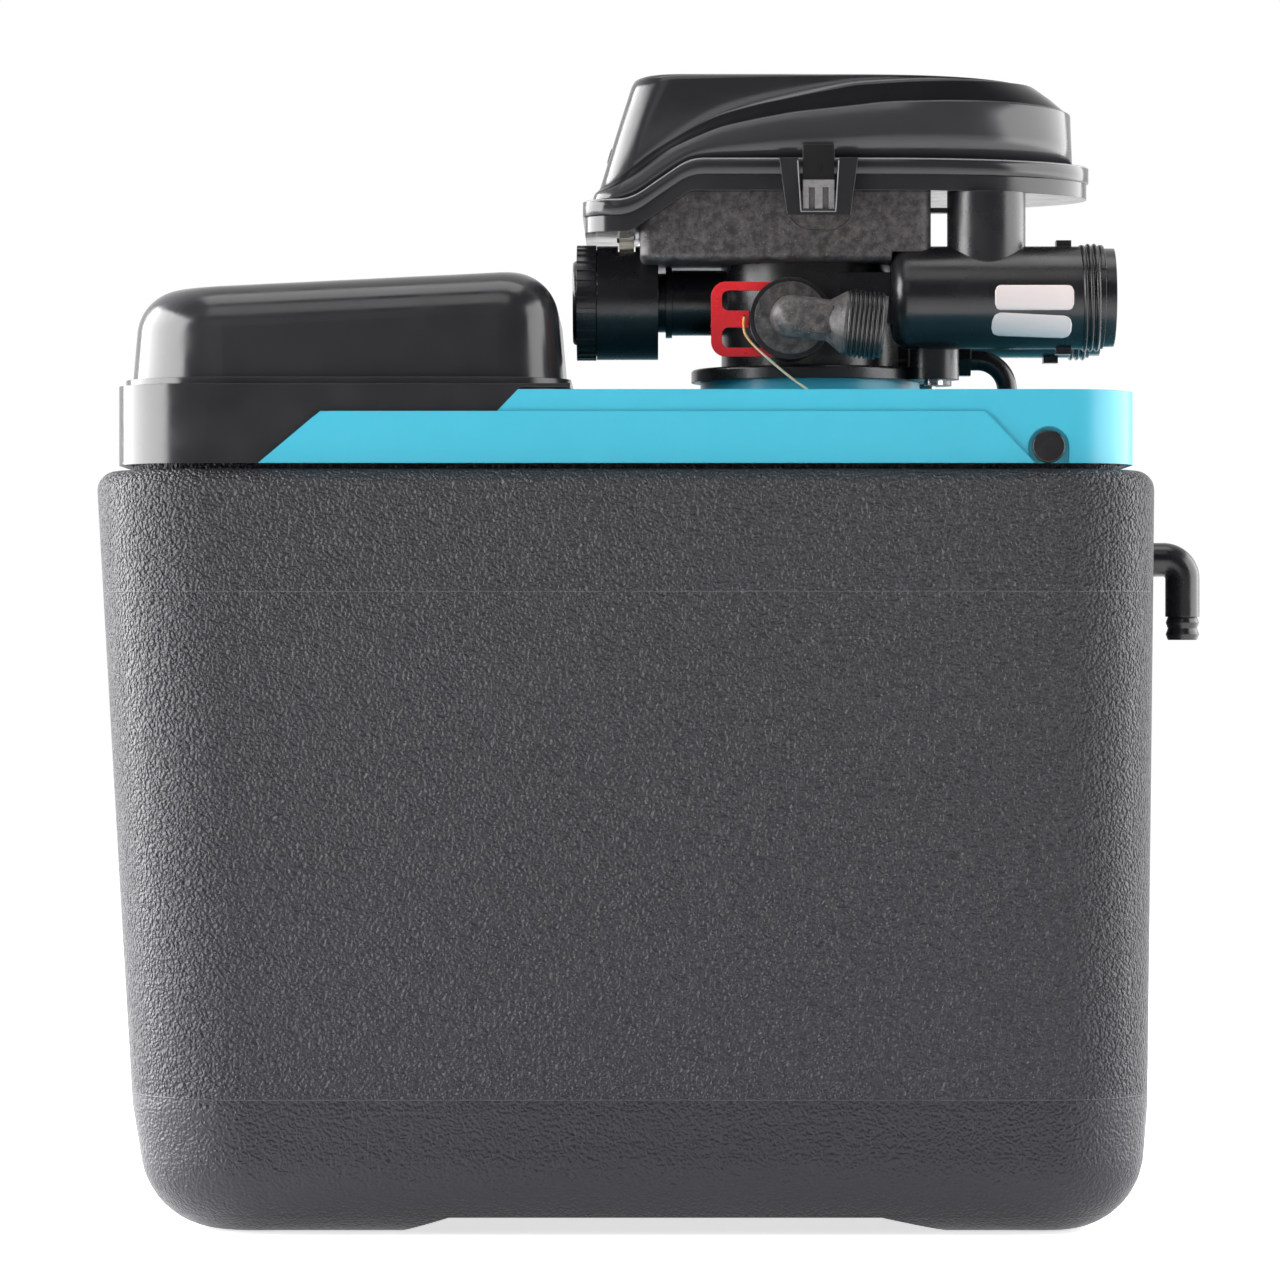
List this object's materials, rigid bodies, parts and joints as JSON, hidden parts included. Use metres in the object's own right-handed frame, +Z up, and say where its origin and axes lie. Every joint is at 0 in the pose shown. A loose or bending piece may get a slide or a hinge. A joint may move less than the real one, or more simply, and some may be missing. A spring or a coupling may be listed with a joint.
{
  "type": "water softener",
  "caption": "Cabinet water softener with a lift-off salt lid, an inner resin vessel and a motor-driven piston valve with pipe ports.",
  "frame": {"origin": "on the floor, under the middle of the bounding box", "axes": "+X to the plumbing ports at the rear, +Z up, the near side with the drain elbow faces -Y"},
  "size_m": [0.517, 0.23, 0.5367],
  "materials": {
    "cabinet_plastic": "textured",
    "black_plastic": "satin",
    "gloss_black": "glossy",
    "blue_plastic": "satin",
    "grey_plastic": "matte",
    "red_plastic": "glossy",
    "white_plastic": "matte",
    "vessel_wrap": "fibre wound",
    "resin": "granular",
    "rubber": "matte",
    "steel": "brushed",
    "acetal": "satin",
    "board": "matte",
    "lens": "glossy",
    "wire_cover": "matte"
  },
  "bodies": {
    "base": {"cabinet": "cabinet_plastic", "deck_frame": "gloss_black", "shroud": "blue_plastic", "shroud_plugs": "black_plastic", "overflow_gasket": "rubber", "resin_tank": "vessel_wrap", "tank_base": "black_plastic", "riser_tube": "white_plastic", "bottom_strainer": "white_plastic", "top_strainer": "white_plastic", "resin_bed": "resin", "tank_collar": "black_plastic", "valve_body": "black_plastic", "port_tubes": "black_plastic", "neck_seal": "rubber", "collar_screws": "steel", "end_cap": "black_plastic", "drive_plate": "steel", "drive_motor": "steel", "seal_stack": "rubber", "injector": "white_plastic", "injector_cap": "black_plastic", "meter_tower": "black_plastic", "turbine_cage": "white_plastic", "gear_casing": "grey_plastic", "head_tray": "gloss_black", "cover_latches": "gloss_black", "circuit_board": "board", "board_posts": "black_plastic", "brine_well": "white_plastic", "brine_well_cap": "white_plastic", "brine_valve": "white_plastic", "refill_elbow": "black_plastic", "refill_nut": "black_plastic", "brine_tube": "black_plastic", "tube_grommet": "rubber"},
    "lid": {"salt_lid": "gloss_black"},
    "cover": {"head_cover": "gloss_black", "display_lens": "lens", "latch_hooks": "grey_plastic"},
    "ring": {"cap_ring": "black_plastic"},
    "gear": {"drive_gear": "acetal"},
    "idler": {"idler_gear": "acetal"},
    "pinion": {"motor_pinion": "steel"},
    "piston_rod": {"piston": "acetal"},
    "elbow": {"drain_elbow": "grey_plastic", "spigot_neck": "grey_plastic", "spigot_tip": "grey_plastic", "drain_seal_ring": "rubber"},
    "clip": {"drain_clip": "red_plastic", "seal_wire": "wire_cover"},
    "overflow": {"overflow_elbow": "black_plastic", "overflow_nut": "black_plastic"},
    "float": {"brine_float": "white_plastic"},
    "turbine": {"meter_turbine": "white_plastic"},
    "key_1_cap": {"key_1": "grey_plastic"},
    "key_2_cap": {"key_2": "grey_plastic"},
    "key_3_cap": {"key_3": "grey_plastic"},
    "key_4_cap": {"key_4": "grey_plastic"},
    "key_5_cap": {"key_5": "grey_plastic"}
  },
  "joints": [
    {"name": "salt_lid_lift", "type": "slide", "parent": "base", "child": "lid", "axis": [0, 0, 1], "range_m": [0, 0.1]},
    {"name": "head_cover_lift", "type": "slide", "parent": "base", "child": "cover", "axis": [0, 0, 1], "range_m": [0, 0.1]},
    {"name": "cap_ring_turn", "type": "hinge", "parent": "base", "child": "ring", "pos_m": [-0.0276, 0, 0.432], "axis": [1, 0, 0], "range_deg": [0, 90]},
    {"name": "drive_gear_turn", "type": "hinge", "parent": "base", "child": "gear", "pos_m": [-0.0135, 0, 0.432], "axis": [1, 0, 0], "range_deg": [0, 1440]},
    {"name": "idler_turn", "type": "hinge", "parent": "base", "child": "idler", "pos_m": [-0.0135, 0, 0.46625], "axis": [1, 0, 0], "range_deg": [-2400, 0]},
    {"name": "pinion_turn", "type": "hinge", "parent": "base", "child": "pinion", "pos_m": [-0.0135, 0, 0.4855], "axis": [1, 0, 0], "range_deg": [0, 5100]},
    {"name": "piston_slide", "type": "slide", "parent": "base", "child": "piston_rod", "axis": [1, 0, 0], "range_m": [0, 0.0245]},
    {"name": "drain_elbow_turn", "type": "hinge", "parent": "base", "child": "elbow", "pos_m": [0.0626, -0.082, 0.4211], "axis": [0, 1, 0], "range_deg": [-180, 15]},
    {"name": "drain_clip_pull", "type": "slide", "parent": "base", "child": "clip", "axis": [-1, 0, 0], "range_m": [0, 0.025]},
    {"name": "overflow_turn", "type": "hinge", "parent": "base", "child": "overflow", "pos_m": [0.2302, 0, 0.31], "axis": [1, 0, 0], "range_deg": [-90, 90]},
    {"name": "brine_float_slide", "type": "slide", "parent": "base", "child": "float", "axis": [0, 0, 1], "range_m": [0, 0.06]},
    {"name": "meter_turbine_spin", "type": "hinge", "parent": "base", "child": "turbine", "pos_m": [0.1547, -0.04, 0.432], "axis": [1, 0, 0], "continuous": true},
    {"name": "key_1_press", "type": "slide", "parent": "cover", "child": "key_1_cap", "axis": [0.9588, 0, -0.2842], "range_m": [0, 0.0008], "stiffness_N_per_m": 400, "springref_m": -0.0006},
    {"name": "key_2_press", "type": "slide", "parent": "cover", "child": "key_2_cap", "axis": [0.9588, 0, -0.2842], "range_m": [0, 0.0008], "stiffness_N_per_m": 400, "springref_m": -0.0006},
    {"name": "key_3_press", "type": "slide", "parent": "cover", "child": "key_3_cap", "axis": [0.9588, 0, -0.2842], "range_m": [0, 0.0008], "stiffness_N_per_m": 400, "springref_m": -0.0006},
    {"name": "key_4_press", "type": "slide", "parent": "cover", "child": "key_4_cap", "axis": [0.9588, 0, -0.2842], "range_m": [0, 0.0008], "stiffness_N_per_m": 400, "springref_m": -0.0006},
    {"name": "key_5_press", "type": "slide", "parent": "cover", "child": "key_5_cap", "axis": [0.9588, 0, -0.2842], "range_m": [0, 0.0008], "stiffness_N_per_m": 400, "springref_m": -0.0006}
  ],
  "couplings": [
    {"joint": "idler_turn", "follows": "drive_gear_turn", "ratio": -1.6154},
    {"joint": "pinion_turn", "follows": "drive_gear_turn", "ratio": 3.5},
    {"joint": "piston_slide", "follows": "drive_gear_turn", "m_per_rad": 0.00095493}
  ]
}
